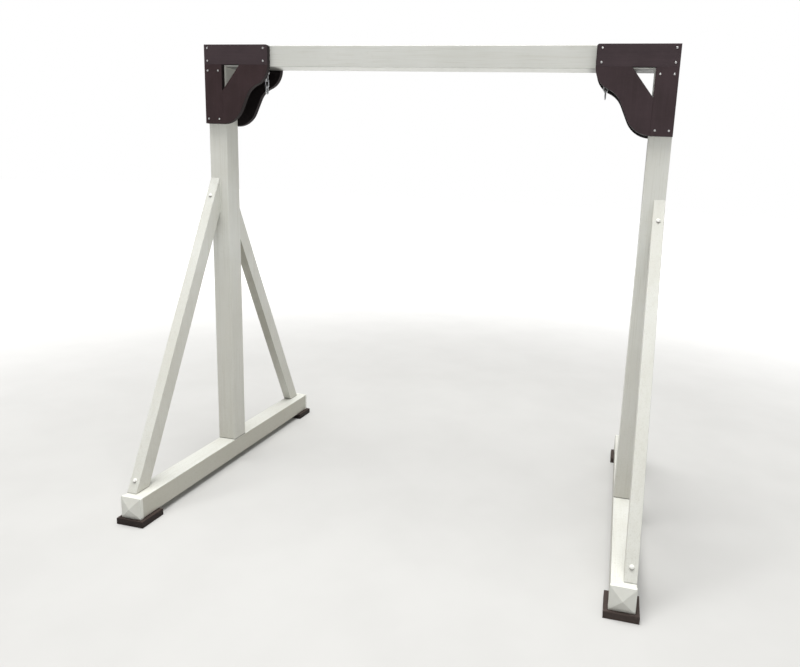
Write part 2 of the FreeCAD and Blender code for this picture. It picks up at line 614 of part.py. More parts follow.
# ----------------------------------------------------------------- end caps
# a square skirt slips over the rail and closes in a low pyramid
for side, s in SIDES:
    for end, e in ENDS:
        label = "%s_%s_end_cap" % (side, end)
        w = "{cap_w}"

        def wedge(name, wide, tall, y0, tip):
            o = doc.addObject("Part::Wedge", name)
            o.setExpression("Xmin", ex("-(%s)/2" % wide)); o.setExpression("Xmax", ex("(%s)/2" % wide))
            o.setExpression("Zmin", ex("-(%s)/2" % wide)); o.setExpression("Zmax", ex("(%s)/2" % wide))
            o.setExpression("Ymin", ex("0")); o.setExpression("Ymax", ex(tall))
            o.setExpression("X2min", ex("-(%s)/2" % tip)); o.setExpression("X2max", ex("(%s)/2" % tip))
            o.setExpression("Z2min", ex("-(%s)/2" % tip)); o.setExpression("Z2max", ex("(%s)/2" % tip))
            o.setExpression("Placement.Base.y", ex(y0))
            return o

        def block(name, wide, deep, y0):
            o = doc.addObject("Part::Box", name)
            o.setExpression("Length", ex(wide)); o.setExpression("Height", ex(wide)); o.setExpression("Width", ex(deep))
            o.setExpression("Placement.Base.x", ex("-(%s)/2" % wide))
            o.setExpression("Placement.Base.z", ex("-(%s)/2" % wide))
            o.setExpression("Placement.Base.y", ex(y0))
            return o

        # built pointing along +Y from the rim plane, then turned to face its end
        skirt = block(label + "_skirt", w, "{cap_skirt} + 0.5", "-{cap_skirt}")
        skirt_r = doc.addObject("Part::Fillet", label + "_skirt_round")
        skirt_r.Base = skirt
        doc.recompute()
        skirt_r.Edges = [(i + 1, d("tube_round"), d("tube_round")) for i, ed in enumerate(skirt.Shape.Edges) if straight_along(ed, V(0, 1, 0))]
        peak = wedge(label + "_peak", "{cap_w} - 1.2", "{cap_peak} - 0.5", "0.5", "{cap_tip}")
        outer = doc.addObject("Part::MultiFuse", label + "_outer")
        outer.Shapes = [skirt_r, peak]
        socket = block(label + "_socket", "{tube_w} + 0.2", "{cap_skirt} - 1.9", "-{cap_skirt}")
        dome = wedge(label + "_hollow", "{cap_w} - 18", "{cap_peak} - 3.4", "-2.0", "{cap_tip}")
        inner = doc.addObject("Part::MultiFuse", label + "_inner")
        inner.Shapes = [socket, dome]
        cap = doc.addObject("Part::Cut", label)
        cap.Base = outer
        cap.Tool = inner
        cap.Label = label
        doc.recompute()
        if e < 0:
            cap.Placement = FreeCAD.Placement(V(0, 0, 0), FreeCAD.Rotation(V(0, 0, 1), 180))
        place(cap, x=sgn(s, POST_X), y=sgn(e, "{cap_rim}"), z="{foot_thick} + {tube_w}/2")
        NODES.append((label, cap))

# ------------------------------------------------------------------- braces
# side profile in the YZ plane, cut upright at the post and level at the rail
RUN = "({brace_toe} - {tube_w}/2)"
RISE = "({brace_top} - {foot_thick} - {tube_w})"


def brace_profile(sk, e, inset, tag, overrun):
    """Strip of the brace between lines inset from its outer and inner faces.
    overrun lengthens it past both mitres, for hollowing."""
    rail_top = d("foot_thick") + d("tube_w")
    face = d("tube_w") / 2
    horiz = d("brace_t") / COS
    i_h = inset / COS

    def on_line(shift, z):
        # y of the outer face line moved inwards by shift, at height z
        return d("brace_toe") - shift - (z - rail_top) * TAN

    def z_at(shift, y):
        return rail_top + (d("brace_toe") - shift - y) / TAN

    if overrun:
        zb, yt = rail_top - 60, face - 60
    else:
        zb, yt = rail_top, face
    pts = [
        (on_line(i_h, zb), zb), (yt, z_at(i_h, yt)),
        (yt, z_at(horiz - i_h, yt)), (on_line(horiz - i_h, zb), zb),
    ]
    g = sk.GeometryCount
    vs = [V(e * y, z, 0) for y, z in pts]
    for i in range(4):
        sk.addGeometry(Part.LineSegment(vs[i], vs[(i + 1) % 4]), False)
    for i in range(4):
        sk.addConstraint(Sketcher.Constraint("Coincident", g + i, 2, g + (i + 1) % 4, 1))
    # the mitre planes
    if not overrun:
        sk.addConstraint(Sketcher.Constraint("Vertical", g + 1))
        sk.addConstraint(Sketcher.Constraint("Horizontal", g + 3))
    for i, v in enumerate(vs):
        for kind, c, sfx in (("DistanceX", v.x, "x"), ("DistanceY", v.y, "y")):
            if not overrun and ((i == 2 and sfx == "x") or (i == 3 and sfx == "y")):
                continue
            if c > 0:
                con = Sketcher.Constraint(kind, -1, 1, g + i, 1, c)
            else:
                con = Sketcher.Constraint(kind, g + i, 1, -1, 1, -c)
            sk.addConstraint(con)
    return pts


for side, s in SIDES:
    for end, e in ENDS:
        base = "%s_%s_brace" % (side, end)
        xc = sgn(s, "{half_len} - {brace_w}/2")
        b = body(base + "_sleeve")
        sk = sketch(b, "YZ_Plane", "brace_side")
        brace_profile(sk, e, 0.0, "o", False)
        p = pad(b, sk, "{brace_w}", "brace_pad", "Symmetric")
        along = V(0, -e * SIN, COS)

        def slopes(ed, along=along):
            return straight_along(ed, along) and abs(abs(ed.BoundBox.Center.x) - d("brace_w") / 2) < 1e-4

        p = fillet(b, p, slopes, "2.5", "brace_round")
        sk = sketch(b, "YZ_Plane", "brace_bore")
        brace_profile(sk, e, d("brace_wall"), "i", True)
        pocket(b, sk, "brace_hollow", "{brace_w} - 2*{brace_wall}", side="Symmetric")
        place(b, x=xc)
        sleeve = b

        b = body(base + "_core")
        inset = (d("brace_t") - d("brace_core_t")) / 2
        sk = sketch(b, "YZ_Plane", "core_side")
        brace_profile(sk, e, inset, "o", False)
        p = pad(b, sk, "{brace_core_w}", "core_pad", "Symmetric")
        place(b, x=xc)
        core = b

        # pilot holes square to the outer face, where the covered screws sit
        top = d("brace_top") - d("cover_from_top") * COS
        y_top = d("tube_w") / 2 + d("cover_from_top") * SIN
        low = d("foot_thick") + d("tube_w") + d("cover_from_toe") * COS
        y_low = d("brace_toe") - d("cover_from_toe") * SIN
        for tag, yy, zz in (("upper", y_top, top), ("lower", y_low, low)):
            for host, r, depth in ((sleeve, d("screw_r") + 0.2, 12.0), (core, d("screw_r") + 0.05, 110.0 if tag == "upper" else 30.0)):
                skh = host.newObject("Sketcher::SketchObject", tag + "_hole_sketch")
                # a plane lying on the outer sloping face
                normal = V(0, e * COS, SIN)
                rot = FreeCAD.Rotation(V(0, 0, 1), normal)
                skh.AttachmentSupport = [(plane(host, "XY_Plane"), "")]
                skh.MapMode = "FlatFace"
                skh.AttachmentOffset = FreeCAD.Placement(V(0, e * yy, zz), rot)
                hole(skh, tag, "0", "0", "{screw_r} + 0.2" if host is sleeve else "{screw_r} + 0.05")
                pocket(host, skh, tag + "_hole", repr(depth))
        # lag from under the rail into the core's toe
        skl = sketch(core, "XY_Plane", "toe_lag", "{foot_thick} + {tube_w}")
        hole(skl, "toe", "0", sgn(e, "{lag_toe_y}"), "{lag_r} + 0.05")
        pocket(core, skl, "toe_lag_hole", "{lag_len} - {core_w} + 13", reverse=True)

# post bores for the long upper brace screws
for side, s in SIDES:
    for label, extra in (("_post_sleeve", 0.2), ("_post_core", 0.05)):
        host = doc.getObject(side + label)
        base_z = d("foot_thick") + d("tube_w") if label == "_post_sleeve" else d("foot_thick") + (d("tube_w") + d("core_w")) / 2
        for end, e in ENDS:
            y_top = d("tube_w") / 2 + d("cover_from_top") * SIN
            top = d("brace_top") - d("cover_from_top") * COS
            skh = host.newObject("Sketcher::SketchObject", end + "_brace_hole_sketch")
            skh.AttachmentSupport = [(plane(host, "XY_Plane"), "")]
            skh.MapMode = "FlatFace"
            skh.AttachmentOffset = FreeCAD.Placement(V(0, e * y_top, top - base_z), FreeCAD.Rotation(V(0, 0, 1), V(0, e * COS, SIN)))
            hole(skh, end, sgn(s, "{tube_w}/2 - {brace_w}/2"), "0", "{screw_r} + %r" % extra)
            pocket(host, skh, end + "_brace_hole", "100" if label == "_post_core" else "60")


# --------------------------------------------------------------- loose masters
def turned(name, profile):
    """One turned piece about its own Z axis from an (r, z) outline."""
    m = doc.addObject("PartDesign::Body", name)
    m.Label = name
    skr = m.newObject("Sketcher::SketchObject", name + "_outline")
    skr.AttachmentSupport = [(plane(m, "XZ_Plane"), "")]
    skr.MapMode = "FlatFace"
    polygon(skr, "o", profile)
    rv = m.newObject("PartDesign::Revolution", name + "_turn")
    rv.Profile = skr
    rv.ReferenceAxis = (skr, ["V_Axis"])
    rv.Angle = 360
    doc.recompute()
    return m


def pan_screw(name, length):
    """Pan-head wood screw: head above z = 0, shank below, cross recess."""
    m = turned(name, [
        ("0", "-(%s)" % length), ("{screw_r}", "-(%s) + 5" % length), ("{screw_r}", "0"), ("{head_r}", "0"),
        ("{head_r}", "{head_tall}*0.45"), ("{head_r}*0.9", "{head_tall}*0.75"), ("{head_r}*0.62", "{head_tall}*0.95"), ("0", "{head_tall}"),
    ])
    skc = m.newObject("Sketcher::SketchObject", name + "_recess")
    skc.AttachmentSupport = [(plane(m, "XY_Plane"), "")]
    skc.MapMode = "FlatFace"
    skc.setExpression("AttachmentOffset.Base.z", ex("{head_tall} + 0.5"))
    a, c = "0.6", "2.2"
    polygon(skc, "x", [("-" + a, "-" + c), (a, "-" + c), (a, "-" + a), (c, "-" + a), (c, a), (a, a), (a, c), ("-" + a, c), ("-" + a, a), ("-" + c, a), ("-" + c, "-" + a), ("-" + a, "-" + a)])
    pocket(m, skc, name + "_recess_cut", "2.3")
    return m


plate_screw = pan_screw("master_plate_screw", "{screw_len}")
foot_screw = pan_screw("master_foot_screw", "60")
long_screw = pan_screw("master_long_screw", "95")
short_screw = pan_screw("master_short_screw", "24")

# domed cover over a brace screw's head, hollow underneath
cover = turned("master_screw_cover", [
    ("0", "4.6"), ("6.4", "4.2"), ("6.8", "0"), ("10.2", "0"), ("10.2", "1.2"), ("9.2", "3.2"), ("7.2", "5.2"), ("4.2", "6.5"), ("0", "7.0"),
])

# plain pin with eased ends, from z = 0 up
pin = turned("master_pin", [
    ("0", "0"), ("{pin_r} - 0.8", "0"), ("{pin_r}", "0.8"), ("{pin_r}", "{pin_len} - 0.8"), ("{pin_r} - 0.8", "{pin_len}"), ("0", "{pin_len}"),
])

# hexagon-head lag screw: head below z = 0, shank above
lag = doc.addObject("PartDesign::Body", "master_lag_screw")
skl = lag.newObject("Sketcher::SketchObject", "lag_hex")
skl.AttachmentSupport = [(plane(lag, "XY_Plane"), "")]
skl.MapMode = "FlatFace"
hexr = d("lag_head")
hexpts = [V(hexr * math.cos(math.radians(60 * k)), hexr * math.sin(math.radians(60 * k)), 0) for k in range(6)]
for k in range(6):
    skl.addGeometry(Part.LineSegment(hexpts[k], hexpts[(k + 1) % 6]), False)
for k in range(6):
    skl.addConstraint(Sketcher.Constraint("Coincident", k, 2, (k + 1) % 6, 1))
skl.addGeometry(Part.Circle(V(0, 0, 0), V(0, 0, 1), hexr), True)
skl.addConstraint(Sketcher.Constraint("Coincident", 6, 3, -1, 1))
bind(skl, Sketcher.Constraint("Radius", 6, hexr), "hexr", "{lag_head}")
for k in range(6):
    skl.addConstraint(Sketcher.Constraint("PointOnObject", k, 1, 6))
for k in range(1, 6):
    skl.addConstraint(Sketcher.Constraint("Equal", 0, k))
skl.addConstraint(Sketcher.Constraint("PointOnObject", 0, 1, -1))
pad(lag, skl, "5.5", "lag_head_pad", reverse=True)
skl = lag.newObject("Sketcher::SketchObject", "lag_shank")
skl.AttachmentSupport = [(plane(lag, "XZ_Plane"), "")]
skl.MapMode = "FlatFace"
polygon(skl, "s", [("0", "-1"), ("{lag_r}", "-1"), ("{lag_r}", "{lag_len} - 8"), ("0", "{lag_len}")])
rv = lag.newObject("PartDesign::Revolution", "lag_turn")
rv.Profile = skl
rv.ReferenceAxis = (skl, ["V_Axis"])
rv.Angle = 360
doc.recompute()


def group(label, master, spots):
    """Copies of one fastener, each a separate solid, in one node.
    spots: (position, direction that the piece's +Z takes)."""
    solids = []
    for pos, zdir in spots:
        sh = master.Shape.copy()
        sh.Placement = FreeCAD.Placement(pos, FreeCAD.Rotation(V(0, 0, 1), zdir))
        solids += sh.Solids
    f = doc.addObject("Part::Feature", label)
    f.Label = label
    f.Shape = Part.makeCompound(solids)
    f.Placement = FreeCAD.Placement(V(0, 0, 0), FreeCAD.Rotation())
    NODES.append((label, f))
    return f


H, A, TP = d("half_len"), d("tube_w"), d("gusset_t")
post_top = d("foot_thick") + A + d("post_len")
for side, s in SIDES:
    spots = []
    for end, e in ENDS:
        for dx, dz in ((d("scr_out"), d("scr_hi")), (d("scr_out"), d("scr_lo")), (d("scr_in"), d("scr_hi")), (d("scr_in"), d("scr_lo")),
                       (d("scr_out"), -d("scr_post")), (d("scr_mid"), -d("scr_post")), (d("scr_out"), -d("scr_foot")), (d("scr_mid"), -d("scr_foot"))):
            spots.append((V(s * (H - dx), e * (A / 2 + TP), post_top + dz), V(0, e, 0)))
    group(side + "_gusset_screws", plate_screw, spots)

for side, s in SIDES:
    spots = []
    half_pin = d("pin_len") / 2
    for end, e in ENDS:
        y = e * (A / 2 + TP / 2)
        for n in ("pin_xa", "pin_xb", "pin_xc", "pin_xd"):
            spots.append((V(s * (H - d(n)), y, post_top + d("cut_up") - half_pin), V(0, 0, 1)))
        for n in ("pin_za", "pin_zb"):
            spots.append((V(s * (H - d("cut_x")) - half_pin, y, post_top - d(n)), V(1, 0, 0)))
    group(side + "_gusset_pins", pin, spots)

for side, s in SIDES:
    spots = [(V(s * (H - A / 2) + k * d("foot_screw_x"), e * d("foot_screw_y"), 9.0), V(0, 0, -1)) for e in (-1, 1) for k in (-1, 1)]
    group(side + "_foot_screws", foot_screw, spots)

for side, s in SIDES:
    lag_z = d("foot_thick") + (A - d("core_w")) / 2 + 18.0
    spots = [(V(s * (H - A / 2), k * d("lag_post_y"), lag_z), V(0, 0, 1)) for k in (-1, 1)]
    spots += [(V(s * (H - d("brace_w") / 2), k * d("lag_toe_y"), lag_z), V(0, 0, 1)) for k in (-1, 1)]
    group(side + "_base_lag_screws", lag, spots)

for side, s in SIDES:
    screws, covers = [], []
    x = s * (H - d("brace_w") / 2)
    y_top = A / 2 + d("cover_from_top") * SIN
    top = d("brace_top") - d("cover_from_top") * COS
    low = d("foot_thick") + A + d("cover_from_toe") * COS
    y_low = d("brace_toe") - d("cover_from_toe") * SIN
    for end, e in ENDS:
        up = V(0, e * COS, SIN)
        for master, y, z in ((long_screw, y_top, top), (short_screw, y_low, low)):
            sh = master.Shape.copy()
            sh.Placement = FreeCAD.Placement(V(x, e * y, z), FreeCAD.Rotation(V(0, 0, 1), up))
            screws += sh.Solids
            covers.append((V(x, e * y, z), up))
    label = side + "_brace_screws"
    f = doc.addObject("Part::Feature", label)
    f.Label = label
    f.Shape = Part.makeCompound(screws)
    f.Placement = FreeCAD.Placement(V(0, 0, 0), FreeCAD.Rotation())
    NODES.append((label, f))
    group(side + "_brace_covers", cover, covers)

# ------------------------------------------------------------------- hangers
EYE_LOW = d("eye_drop") + d("eye_ring")        # beam underside to the eye's lowest wire centre
for side, s in SIDES:
    label = side + "_hanger_eye"
    ring = doc.addObject("Part::Torus", label + "_ring")
    ring.setExpression("Radius1", ex("{eye_ring}"))
    ring.setExpression("Radius2", ex("{eye_wire}"))
    ring.Placement = FreeCAD.Placement(V(0, 0, 0), FreeCAD.Rotation(V(1, 0, 0), 90))
    ring.setExpression("Placement.Base.z", ex("-{eye_drop}"))
    shank = doc.addObject("Part::Cylinder", label + "_shank")
    shank.setExpression("Radius", ex("{eye_wire}"))
    shank.setExpression("Height", ex("{eye_shank} + {eye_drop} - {eye_ring}"))
    shank.setExpression("Placement.Base.z", ex("-{eye_drop} + {eye_ring}"))
    tip = doc.addObject("Part::Chamfer", label + "_tip")
    tip.Base = shank
    doc.recompute()
    tip.Edges = [(i + 1, 2.5, 2.5) for i, ed in enumerate(shank.Shape.Edges)
                 if isinstance(ed.Curve, Part.Circle) and ed.BoundBox.Center.z > 0 and abs(ed.BoundBox.ZLength) < 1e-6]
    eye = doc.addObject("Part::MultiFuse", label)
    eye.Shapes = [ring, tip]
    eye.Label = label
    place(eye, x=sgn(s, "{hang_x}"), z=POST_TOP)
    NODES.append((label, eye))
doc.recompute()


def chain_link(label, s, top_z, plane_x):
    """Closed link; top_z is its upper wire centre; plane_x lays it in XZ, else YZ."""
    m = body(label)
    role = "XZ_Plane" if plane_x else "YZ_Plane"
    skp = sketch(m, role, label + "_path")
    r, l = d("link_bend"), d("link_straight")
    skp.addGeometry(Part.Arc(V(r, l / 2, 0), V(0, l / 2 + r, 0), V(-r, l / 2, 0)), False)
    skp.addGeometry(Part.LineSegment(V(-r, l / 2, 0), V(-r, -l / 2, 0)), False)
    skp.addGeometry(Part.Arc(V(-r, -l / 2, 0), V(0, -l / 2 - r, 0), V(r, -l / 2, 0)), False)
    skp.addGeometry(Part.LineSegment(V(r, -l / 2, 0), V(r, l / 2, 0)), False)
    for a, pa, c, pc in ((0, 2, 1, 1), (1, 2, 2, 1), (2, 2, 3, 1), (3, 2, 0, 1)):
        skp.addConstraint(Sketcher.Constraint("Coincident", a, pa, c, pc))
    coord(skp, 1, 1, "a", "-{link_bend}", "{link_straight}/2")
    coord(skp, 1, 2, "b", "-{link_bend}", "-{link_straight}/2")
    coord(skp, 3, 1, "c", "{link_bend}", "-{link_straight}/2")
    coord(skp, 3, 2, "e", "{link_bend}", "{link_straight}/2")
    bind(skp, Sketcher.Constraint("DistanceY", -1, 1, 0, 3, l / 2), "centre_up", "{link_straight}/2")
    bind(skp, Sketcher.Constraint("DistanceY", 2, 3, -1, 1, l / 2), "centre_dn", "{link_straight}/2")
    skw = sketch(m, "XY_Plane", label + "_wire")
    if plane_x:
        hole(skw, "wire", "{link_bend}", "0", "{link_wire}")
    else:
        hole(skw, "wire", "0", "{link_bend}", "{link_wire}")
    doc.recompute()
    pipe = m.newObject("PartDesign::AdditivePipe", label + "_pipe")
    pipe.Profile = skw
    pipe.Spine = (skp, [])
    doc.recompute()
    m.Placement = FreeCAD.Placement(V(s * d("hang_x"), 0, top_z - l / 2 - r), FreeCAD.Rotation())
    return m


pitch = 2 * d("link_bend") + d("link_straight") - 2 * d("link_wire") - d("link_gap")
for side, s in SIDES:
    pivot = post_top - EYE_LOW
    top = pivot + d("eye_wire") + d("link_gap") + d("link_wire")
    chain_link(side + "_chain_link_upper", s, top, False)
    low = top - d("link_straight") - 2 * d("link_bend")
    top2 = low + 2 * d("link_wire") + d("link_gap")
    chain_link(side + "_chain_link_middle", s, top2, True)
    low2 = top2 - d("link_straight") - 2 * d("link_bend")
    top3 = low2 + 2 * d("link_wire") + d("link_gap")
    chain_link(side + "_chain_link_lower", s, top3, False)
    low3 = top3 - d("link_straight") - 2 * d("link_bend")
    print("%s pivots %.3f %.3f %.3f lowest wire centre %.3f" % (side, pivot, low, low2, low3))

doc.recompute()

# ------------------------------------------------------------------- checks
for o in doc.Objects:
    if "Invalid" in o.State or "Error" in o.State:
        raise RuntimeError("%s (%s) is %s" % (o.Name, o.Label, o.State))
for label, o in NODES:
    sh = o.Shape
    if sh.isNull() or not sh.isValid() or sh.Volume <= 0:
        raise RuntimeError("%s has no valid solid" % label)
    if o.TypeId == "PartDesign::Body" and len(sh.Solids) != 1:
        raise RuntimeError("%s has %d solids" % (label, len(sh.Solids)))
if len(set(n for n, _ in NODES)) != len(NODES) or len(NODES) > 60:
    raise RuntimeError("%d nodes" % len(NODES))

os.makedirs("parts", exist_ok=True)
for label, o in NODES:
    o.Shape.exportStep(os.path.join("parts", label + ".step"))
    bb = o.Shape.BoundBox
    print("%-32s solids %2d  vol %12.1f  x %9.2f %9.2f  y %8.2f %8.2f  z %8.2f %8.2f" % (
        label, len(o.Shape.Solids), o.Shape.Volume, bb.XMin, bb.XMax, bb.YMin, bb.YMax, bb.ZMin, bb.ZMax))
print("nodes", len(NODES))
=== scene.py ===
import math

import bpy
import bmesh
from mathutils import Matrix, Vector

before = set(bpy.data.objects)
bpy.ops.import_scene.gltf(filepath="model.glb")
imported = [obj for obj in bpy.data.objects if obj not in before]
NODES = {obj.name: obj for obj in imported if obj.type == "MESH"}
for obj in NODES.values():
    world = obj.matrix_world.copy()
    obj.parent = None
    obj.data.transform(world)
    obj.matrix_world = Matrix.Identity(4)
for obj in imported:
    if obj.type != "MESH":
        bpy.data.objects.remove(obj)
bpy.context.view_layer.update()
scene = bpy.context.scene


# ------------------------------------------------------------------ node helper
class Tree:
    """A small builder for one material's node tree."""

    def __init__(self, name):
        self.mat = bpy.data.materials.new(name)
        self.mat.use_nodes = True
        self.nt = self.mat.node_tree
        self.nt.nodes.clear()
        self.out = self.nt.nodes.new("ShaderNodeOutputMaterial")
        self.bsdf = self.nt.nodes.new("ShaderNodeBsdfPrincipled")
        self.nt.links.new(self.bsdf.outputs["BSDF"], self.out.inputs["Surface"])
        self.coord = self.nt.nodes.new("ShaderNodeTexCoord").outputs["Object"]

    def node(self, kind, **props):
        n = self.nt.nodes.new(kind)
        for k, v in props.items():
            setattr(n, k, v)
        return n

    def put(self, sock, value):
        if isinstance(value, bpy.types.NodeSocket):
            self.nt.links.new(value, sock)
        else:
            sock.default_value = value

    def mapping(self, scale=(1, 1, 1), rotation=(0, 0, 0), location=(0, 0, 0), source=None):
        m = self.node("ShaderNodeMapping")
        self.nt.links.new(source or self.coord, m.inputs["Vector"])
        m.inputs["Scale"].default_value = scale
        m.inputs["Rotation"].default_value = rotation
        m.inputs["Location"].default_value = location
        return m.outputs["Vector"]

    def noise(self, vector, scale, detail=3.0, rough=0.55, distortion=0.0, dims="3D"):
        n = self.node("ShaderNodeTexNoise", noise_dimensions=dims)
        self.nt.links.new(vector, n.inputs["Vector"])
        n.inputs["Scale"].default_value = scale
        n.inputs["Detail"].default_value = detail
        n.inputs["Roughness"].default_value = rough
        n.inputs["Distortion"].default_value = distortion
        return n.outputs["Fac"]

    def voronoi(self, vector, scale, feature="F1"):
        n = self.node("ShaderNodeTexVoronoi", feature=feature)
        self.nt.links.new(vector, n.inputs["Vector"])
        n.inputs["Scale"].default_value = scale
        return n.outputs["Distance"]

    def ramp(self, fac, lo, hi, a=0.0, b=1.0):
        r = self.node("ShaderNodeMapRange", interpolation_type="SMOOTHSTEP")
        self.put(r.inputs["Value"], fac)
        r.inputs["From Min"].default_value = lo
        r.inputs["From Max"].default_value = hi
        r.inputs["To Min"].default_value = a
        r.inputs["To Max"].default_value = b
        return r.outputs["Result"]

    def linear(self, fac, lo, hi, a=0.0, b=1.0):
        r = self.node("ShaderNodeMapRange", interpolation_type="LINEAR")
        self.put(r.inputs["Value"], fac)
        r.inputs["From Min"].default_value = lo
        r.inputs["From Max"].default_value = hi
        r.inputs["To Min"].default_value = a
        r.inputs["To Max"].default_value = b
        return r.outputs["Result"]

    def math(self, op, a, b=0.0, clamp=False):
        n = self.node("ShaderNodeMath", operation=op, use_clamp=clamp)
        self.put(n.inputs[0], a)
        self.put(n.inputs[1], b)
        return n.outputs[0]

    def mix(self, fac, a, b, blend="MIX"):
        n = self.node("ShaderNodeMix", data_type="RGBA", blend_type=blend)
        self.put(n.inputs[0], fac)
        self.put(n.inputs[6], a)
        self.put(n.inputs[7], b)
        return n.outputs[2]

    def xyz(self):
        n = self.node("ShaderNodeSeparateXYZ")
        self.nt.links.new(self.coord, n.inputs[0])
        return n.outputs

    def normal_xyz(self):
        g = self.node("ShaderNodeNewGeometry")
        n = self.node("ShaderNodeSeparateXYZ")
        self.nt.links.new(g.outputs["True Normal"], n.inputs[0])
        return n.outputs

    def bump(self, height, strength, distance, under=None):
        b = self.node("ShaderNodeBump")
        b.inputs["Strength"].default_value = strength
        b.inputs["Distance"].default_value = distance
        self.put(b.inputs["Height"], height)
        if under is not None:
            self.nt.links.new(under, b.inputs["Normal"])
        return b.outputs["Normal"]

    def set(self, **kw):
        for k, v in kw.items():
            self.put(self.bsdf.inputs[k.replace("_", " ")], v)


def rgb(r, g, b):
    return (r, g, b, 1.0)


def srgb(r, g, b):
    """Linear colour from 8-bit display values."""
    def one(v):
        v = v / 255.0
        return v / 12.92 if v <= 0.04045 else ((v + 0.055) / 1.055) ** 2.4
    return (one(r), one(g), one(b), 1.0)


AXIS_SCALE = {"x": (0.02, 1, 1), "y": (1, 0.02, 1), "z": (1, 1, 0.02)}


def vinyl(name, axis, base, tint, seed, low_side_shade=0.0, joint_shadow=0.0, gap_shade=0.0, underside_shade=0.0):
    """Extruded vinyl sleeve: satin skin, faint lines along the extrusion, a
    soft waviness of the wall, dust near the ground, small scuffs and painted shade."""
    t = Tree(name)
    off = (seed * 3.1, seed * 1.7, seed * 2.3)
    along = t.mapping(scale=AXIS_SCALE[axis], location=off)
    lines = t.noise(along, 260.0, 2.0, 0.5)
    broad = t.noise(along, 26.0, 2.0, 0.5)
    cloud = t.noise(t.mapping(location=off), 3.2, 4.0, 0.55)
    mott = t.noise(t.mapping(location=off), 38.0, 5.0, 0.6)
    fine = t.noise(t.mapping(location=off), 900.0, 2.0, 0.5)
    col = t.mix(t.ramp(cloud, 0.30, 0.72), base, tint)
    col = t.mix(t.ramp(mott, 0.55, 0.80, 0.0, 0.30), col, (tint[0] * 0.90, tint[1] * 0.89, tint[2] * 0.85, 1))
    # extrusion lines hold a trace of grime
    col = t.mix(t.ramp(lines, 0.52, 0.70, 0.0, 0.34), col, (base[0] * 0.78, base[1] * 0.765, base[2] * 0.71, 1))
    bands = t.noise(along, 52.0, 2.0, 0.5)
    col = t.mix(t.ramp(bands, 0.50, 0.70, 0.0, 0.30), col, (base[0] * 0.86, base[1] * 0.85, base[2] * 0.81, 1))
    # dust splashed up from the ground
    z = t.xyz()[2]
    low = t.linear(z, 0.04, 0.90, 1.0, 0.0)
    speck = t.noise(t.mapping(location=off), 120.0, 6.0, 0.7)
    dirt = t.math("MULTIPLY", t.ramp(speck, 0.50, 0.74), low, clamp=True)
    dirt = t.math("MULTIPLY", dirt, 0.34)
    col = t.mix(dirt, col, rgb(0.36, 0.31, 0.235))
    # painted shade with warm ground bounce on the upright faces, fading with height, over a little dust
    up = t.math("ABSOLUTE", t.normal_xyz()[2])
    upright_shade_and_dust = t.ramp(up, 0.15, 0.55, 0.36, 0.0)
    col = t.mix(t.math("MULTIPLY", upright_shade_and_dust, t.linear(z, 0.10, 1.30, 1.0, 0.0)), col, rgb(0.49, 0.46, 0.385))
    if low_side_shade:
        # painted shade: upright faces near the ground darkened to an olive tone
        col = t.mix(t.ramp(up, 0.2, 0.8, low_side_shade, 0.0), col, rgb(0.37, 0.355, 0.275))
    if joint_shadow:
        # painted shadow: a dark line where the sleeve stands on the rail
        near = t.ramp(z, 0.1350, 0.1395, joint_shadow, 0.0)
        near = t.math("MULTIPLY", near, t.ramp(t.noise(t.mapping(location=off), 45.0, 2.0), 0.30, 0.55, 0.75, 1.0))
        col = t.mix(near, col, rgb(0.075, 0.068, 0.055))
    if underside_shade:
        # painted shade: the sloping undersides darkened to a dark olive
        face_down_shade = t.ramp(t.normal_xyz()[2], -0.40, -0.22, underside_shade, 0.0)
        face_down_shade = t.math("MULTIPLY", face_down_shade, t.ramp(cloud, 0.25, 0.60, 0.80, 1.0))
        face_down_shade = t.math("MULTIPLY", face_down_shade, t.ramp(z, 0.15, 0.60, 0.35, 1.0))
        col = t.mix(face_down_shade, col, rgb(0.205, 0.190, 0.140))
    if gap_shade:
        # settled dust greys the top face
        col = t.mix(t.ramp(t.normal_xyz()[2], 0.5, 0.9, 0.0, 0.55), col, rgb(0.45, 0.44, 0.40))
        # painted shade: the underside between the corner boards darkened almost to black
        x = t.math("ABSOLUTE", t.xyz()[0])
        under = t.ramp(t.normal_xyz()[2], -0.9, -0.5, 1.0, 0.0)
        under = t.math("MULTIPLY", under, t.ramp(x, 0.755, 0.800, 0.0, gap_shade))
        col = t.mix(under, col, rgb(0.050, 0.048, 0.044))
    # sparse scuffs, long along the sleeve
    scuffs = t.noise(t.mapping(scale=tuple(v * (6 if v < 1 else 1) for v in AXIS_SCALE[axis]), location=off, rotation=(0.05, 0.04, 0.06)), 70.0, 2.0, 0.5)
    mask = t.ramp(t.noise(t.mapping(location=off), 2.1, 2.0), 0.56, 0.70)
    scuff = t.math("MULTIPLY", t.ramp(scuffs, 0.70, 0.76), mask)
    col = t.mix(t.math("MULTIPLY", scuff, 0.22), col, rgb(0.42, 0.40, 0.36))
    rough = t.math("ADD", t.ramp(mott, 0.3, 0.75, 0.34, 0.46), t.math("MULTIPLY", dirt, 0.6))
    rough = t.math("ADD", rough, t.math("MULTIPLY", scuff, 0.12))
    n1 = t.bump(broad, 0.10, 0.0012)
    n2 = t.bump(lines, 0.14, 0.00022, n1)
    n3 = t.bump(fine, 0.10, 0.00008, n2)
    t.set(Base_Color=col, Roughness=rough, Normal=n3)
    t.bsdf.inputs["IOR"].default_value = 1.53
    t.bsdf.inputs["Specular IOR Level"].default_value = 0.42
    t.bsdf.inputs["Subsurface Weight"].default_value = 0.0
    return t.mat


